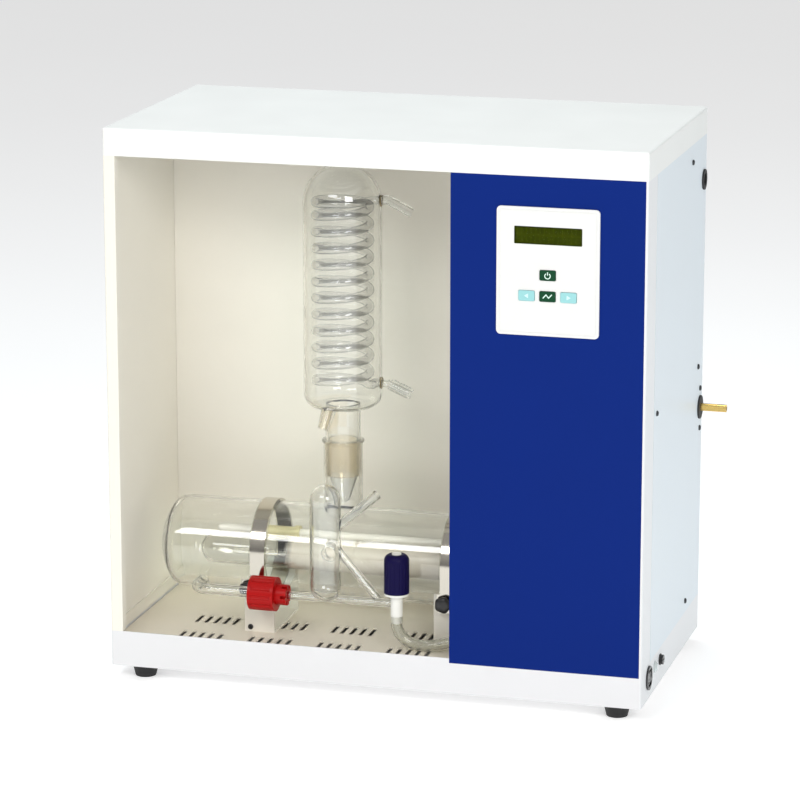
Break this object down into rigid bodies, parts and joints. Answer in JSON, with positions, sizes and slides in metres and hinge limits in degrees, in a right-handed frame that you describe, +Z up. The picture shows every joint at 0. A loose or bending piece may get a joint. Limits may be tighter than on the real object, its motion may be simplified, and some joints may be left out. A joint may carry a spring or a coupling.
{
  "type": "laboratory glass water still",
  "caption": "Bench-top glass water still: sheet-metal case with an open bay holding a horizontal boiler and coil condenser, beside a control compartment.",
  "frame": {"origin": "on the standing surface, under the middle of the still's whole box", "axes": "+X to the right along the front, +Y towards the back, +Z up"},
  "size_m": [0.547, 0.2988, 0.537],
  "materials": {
    "white_paint": "satin powder coat",
    "side_paint": "satin powder coat",
    "cream_paint": "satin powder coat",
    "blue_paint": "satin powder coat",
    "steel": "brushed",
    "zinc": "satin zinc",
    "black_screw": "matt black",
    "rubber": "matt",
    "panel_plastic": "satin",
    "display_clear": "clear",
    "display_dark": "satin",
    "green_key": "satin",
    "aqua_key": "satin",
    "circuit_green": "satin",
    "black_plastic": "satin",
    "lamp_lens": "gloss",
    "aluminium": "satin",
    "brass": "polished",
    "glass": "clear",
    "silicone": "matt",
    "quartz": "milky",
    "ceramic": "matt",
    "red_plastic": "satin",
    "navy_plastic": "satin",
    "fluoroplastic": "waxy",
    "hose_clear": "translucent"
  },
  "bodies": {
    "case": {"base_frame": "white_paint", "floor_plate": "cream_paint", "left_wall": "cream_paint", "corner_post": "white_paint", "side_cover": "side_paint", "back_panel": "white_paint", "lid": "white_paint", "bay_back": "cream_paint", "partition": "cream_paint", "front_panel": "blue_paint", "feet": "rubber", "foot_screws": "zinc", "case_screws": "black_screw", "control_bezel": "panel_plastic", "display_window": "display_clear", "display_module": "display_dark", "control_board": "circuit_green", "board_posts": "zinc", "switch_body": "black_plastic", "pilot_lamp": "lamp_lens", "fuse_holder": "black_plastic", "cable_gland": "black_plastic", "gland_nut": "black_plastic", "power_board": "circuit_green", "heater_relay": "aluminium", "inlet_nozzle": "brass", "nozzle_ring": "rubber", "inlet_valve": "brass", "valve_coil": "black_plastic", "hose_grommet": "rubber", "boiler": "glass", "heater_plug": "silicone", "heater_tube": "quartz", "sensor_rod": "ceramic", "sensor_sleeve": "silicone", "level_vessel": "glass", "drain_tube": "glass", "valve_barrel": "glass", "drain_hose": "hose_clear", "hose_fitting": "rubber", "clamp_stands": "cream_paint", "clamp_straps": "steel", "clamp_liners": "silicone", "stand_screws": "black_screw"},
    "power_key": {"power_key": "green_key"},
    "left_key": {"left_key": "aqua_key"},
    "select_key": {"select_key": "green_key"},
    "right_key": {"right_key": "aqua_key"},
    "rocker": {"switch_rocker": "black_plastic"},
    "fuse_cap": {"fuse_cap": "black_plastic"},
    "left_stud": {"left_stud": "steel"},
    "left_knob": {"left_knob": "black_plastic"},
    "right_stud": {"right_stud": "steel"},
    "right_knob": {"right_knob": "black_plastic"},
    "valve_spindle": {"valve_spindle": "fluoroplastic"},
    "valve_knob": {"valve_knob": "navy_plastic"},
    "coupling_seal": {"coupling_seal": "silicone"},
    "coupling_nut": {"coupling_nut": "red_plastic"},
    "condenser": {"condenser": "glass", "condenser_coil": "glass"}
  },
  "joints": [
    {"name": "power_key_press", "type": "slide", "parent": "case", "child": "power_key", "axis": [0, 1, 0], "range_m": [0, 0.0006], "stiffness_N_per_m": 2500},
    {"name": "left_key_press", "type": "slide", "parent": "case", "child": "left_key", "axis": [0, 1, 0], "range_m": [0, 0.0006], "stiffness_N_per_m": 2500},
    {"name": "select_key_press", "type": "slide", "parent": "case", "child": "select_key", "axis": [0, 1, 0], "range_m": [0, 0.0006], "stiffness_N_per_m": 2500},
    {"name": "right_key_press", "type": "slide", "parent": "case", "child": "right_key", "axis": [0, 1, 0], "range_m": [0, 0.0006], "stiffness_N_per_m": 2500},
    {"name": "switch_rock", "type": "hinge", "parent": "case", "child": "rocker", "pos_m": [0.2415, -0.1136, 0.035], "axis": [0, 1, 0], "range_deg": [0, 16]},
    {"name": "fuse_cap_turn", "type": "hinge", "parent": "case", "child": "fuse_cap", "pos_m": [0.2465, -0.0606, 0.037], "axis": [1, 0, 0], "range_deg": [-60, 0]},
    {"name": "left_knob_out", "type": "slide", "parent": "case", "child": "left_stud", "axis": [0, -1, 0], "range_m": [0, 0.00401]},
    {"name": "left_knob_turn", "type": "hinge", "parent": "left_stud", "child": "left_knob", "pos_m": [-0.1515, -0.0986, 0.085], "axis": [0, -1, 0], "range_deg": [0, 1800]},
    {"name": "right_knob_out", "type": "slide", "parent": "case", "child": "right_stud", "axis": [0, -1, 0], "range_m": [0, 0.00401]},
    {"name": "right_knob_turn", "type": "hinge", "parent": "right_stud", "child": "right_knob", "pos_m": [0.0435, -0.0986, 0.085], "axis": [0, -1, 0], "range_deg": [0, 1800]},
    {"name": "valve_rise", "type": "slide", "parent": "case", "child": "valve_spindle", "axis": [0, 0, 1], "range_m": [0, 0.00501]},
    {"name": "valve_turn", "type": "hinge", "parent": "valve_spindle", "child": "valve_knob", "pos_m": [0.0018, -0.1116, 0.114], "axis": [0, 0, 1], "range_deg": [0, 900]},
    {"name": "nut_out", "type": "slide", "parent": "case", "child": "coupling_seal", "axis": [1, 0, 0], "range_m": [0, 0.01401]},
    {"name": "nut_turn", "type": "hinge", "parent": "coupling_seal", "child": "coupling_nut", "pos_m": [-0.1295, -0.1116, 0.087], "axis": [1, 0, 0], "range_deg": [0, 1440]},
    {"name": "condenser_lift", "type": "slide", "parent": "case", "child": "condenser", "axis": [0, 0, 1], "range_m": [0, 0.036]}
  ],
  "couplings": [
    {"joint": "left_knob_out", "follows": "left_knob_turn", "m_per_rad": 0.00012732},
    {"joint": "right_knob_out", "follows": "right_knob_turn", "m_per_rad": 0.00012732},
    {"joint": "valve_rise", "follows": "valve_turn", "m_per_rad": 0.00031831},
    {"joint": "nut_out", "follows": "nut_turn", "m_per_rad": 0.00055704}
  ]
}
